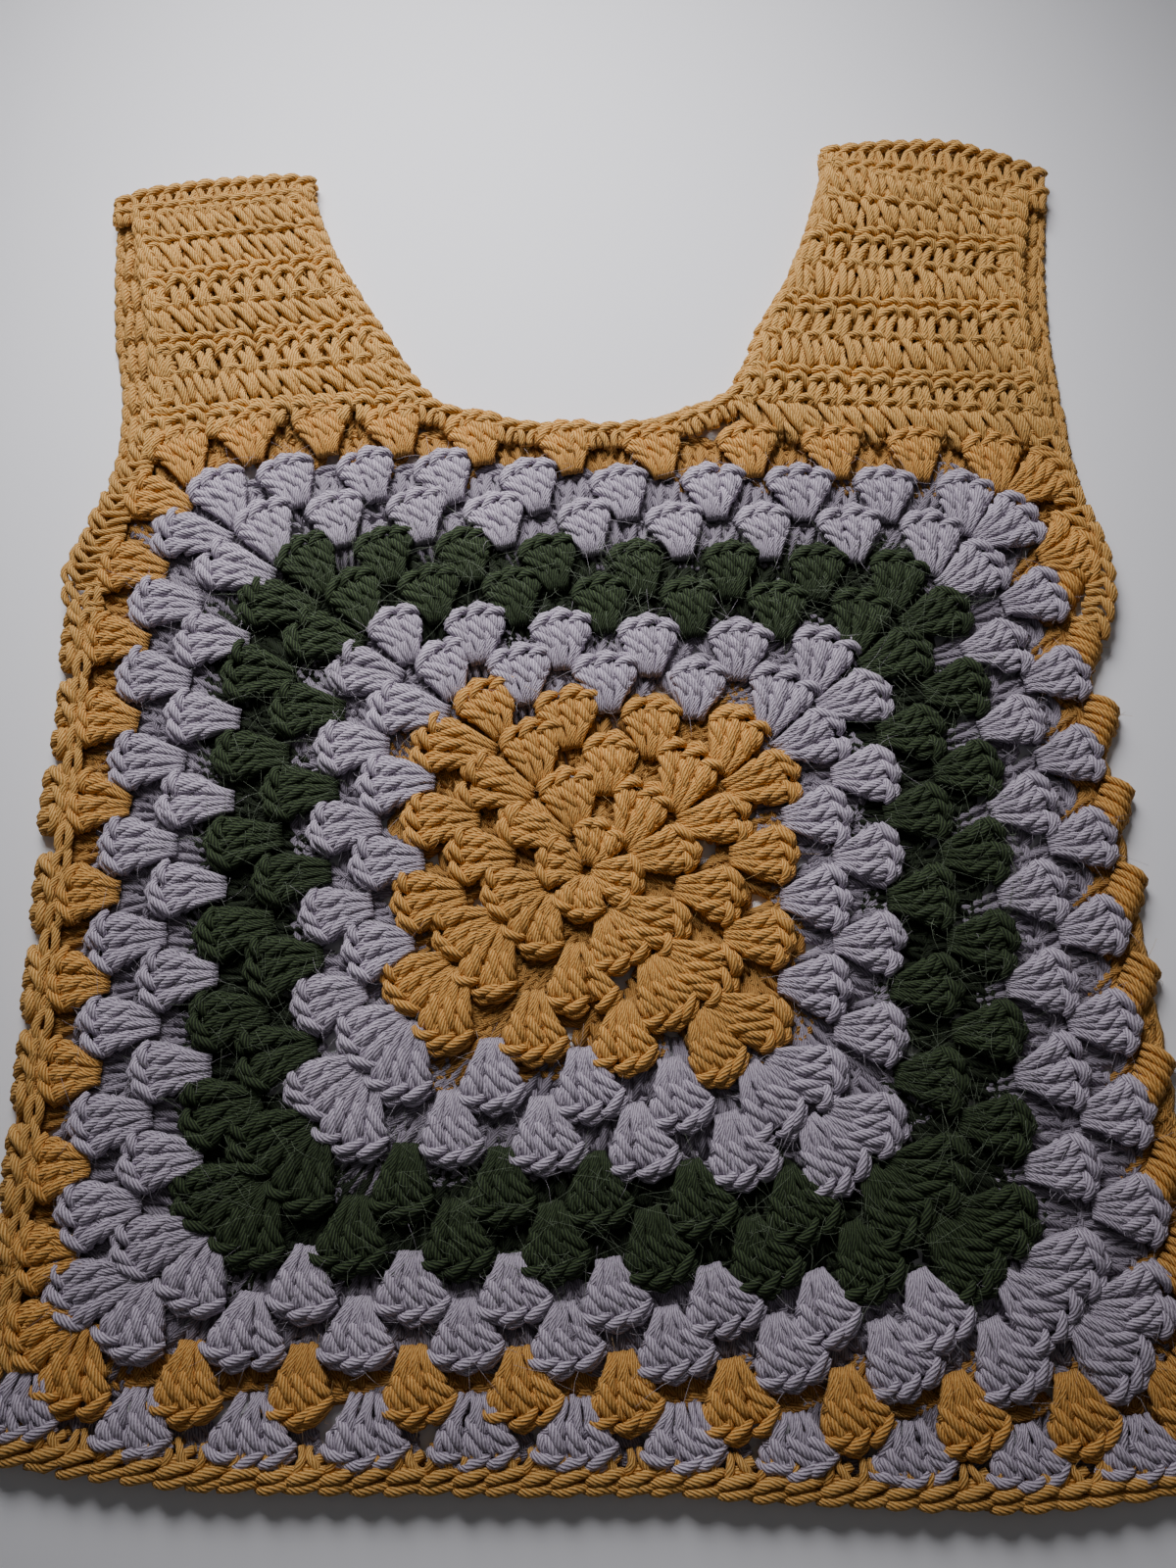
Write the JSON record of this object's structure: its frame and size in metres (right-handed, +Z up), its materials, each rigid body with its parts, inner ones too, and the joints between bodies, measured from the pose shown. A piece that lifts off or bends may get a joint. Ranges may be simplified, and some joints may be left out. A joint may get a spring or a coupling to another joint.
{
  "type": "crochet vest",
  "caption": "Sleeveless crocheted vest laid flat: a granny-square front and back joined at the sides, with wide straps, worked edgings and a hem.",
  "frame": {"origin": "centre of the garment's outline, on the flat underside of its back", "axes": "+X to the right as the vest lies face up, +Y from the hem to the shoulders, +Z up, out of the front"},
  "size_m": [0.366, 0.4652, 0.0083],
  "materials": {
    "mustard_wool": "soft matt worsted yarn, mustard yellow",
    "lilac_grey_wool": "soft matt worsted yarn, pinkish lilac grey"
  },
  "bodies": {
    "root": {"front_square": "mustard_wool", "front_left_strap": "mustard_wool", "front_left_armhole_edging": "mustard_wool", "front_right_strap": "mustard_wool", "front_right_armhole_edging": "mustard_wool", "front_neck_edging": "mustard_wool", "front_hem_band": "lilac_grey_wool", "front_hem_edge": "mustard_wool", "back_square": "mustard_wool", "back_left_strap": "mustard_wool", "back_left_armhole_edging": "mustard_wool", "back_right_strap": "mustard_wool", "back_right_armhole_edging": "mustard_wool", "back_neck_edging": "mustard_wool", "back_hem_band": "lilac_grey_wool", "back_hem_edge": "mustard_wool", "left_shoulder_seam": "mustard_wool", "right_shoulder_seam": "mustard_wool", "left_side_seam": "mustard_wool", "left_side_roll": "mustard_wool", "right_side_seam": "mustard_wool"}
  },
  "joints": []
}
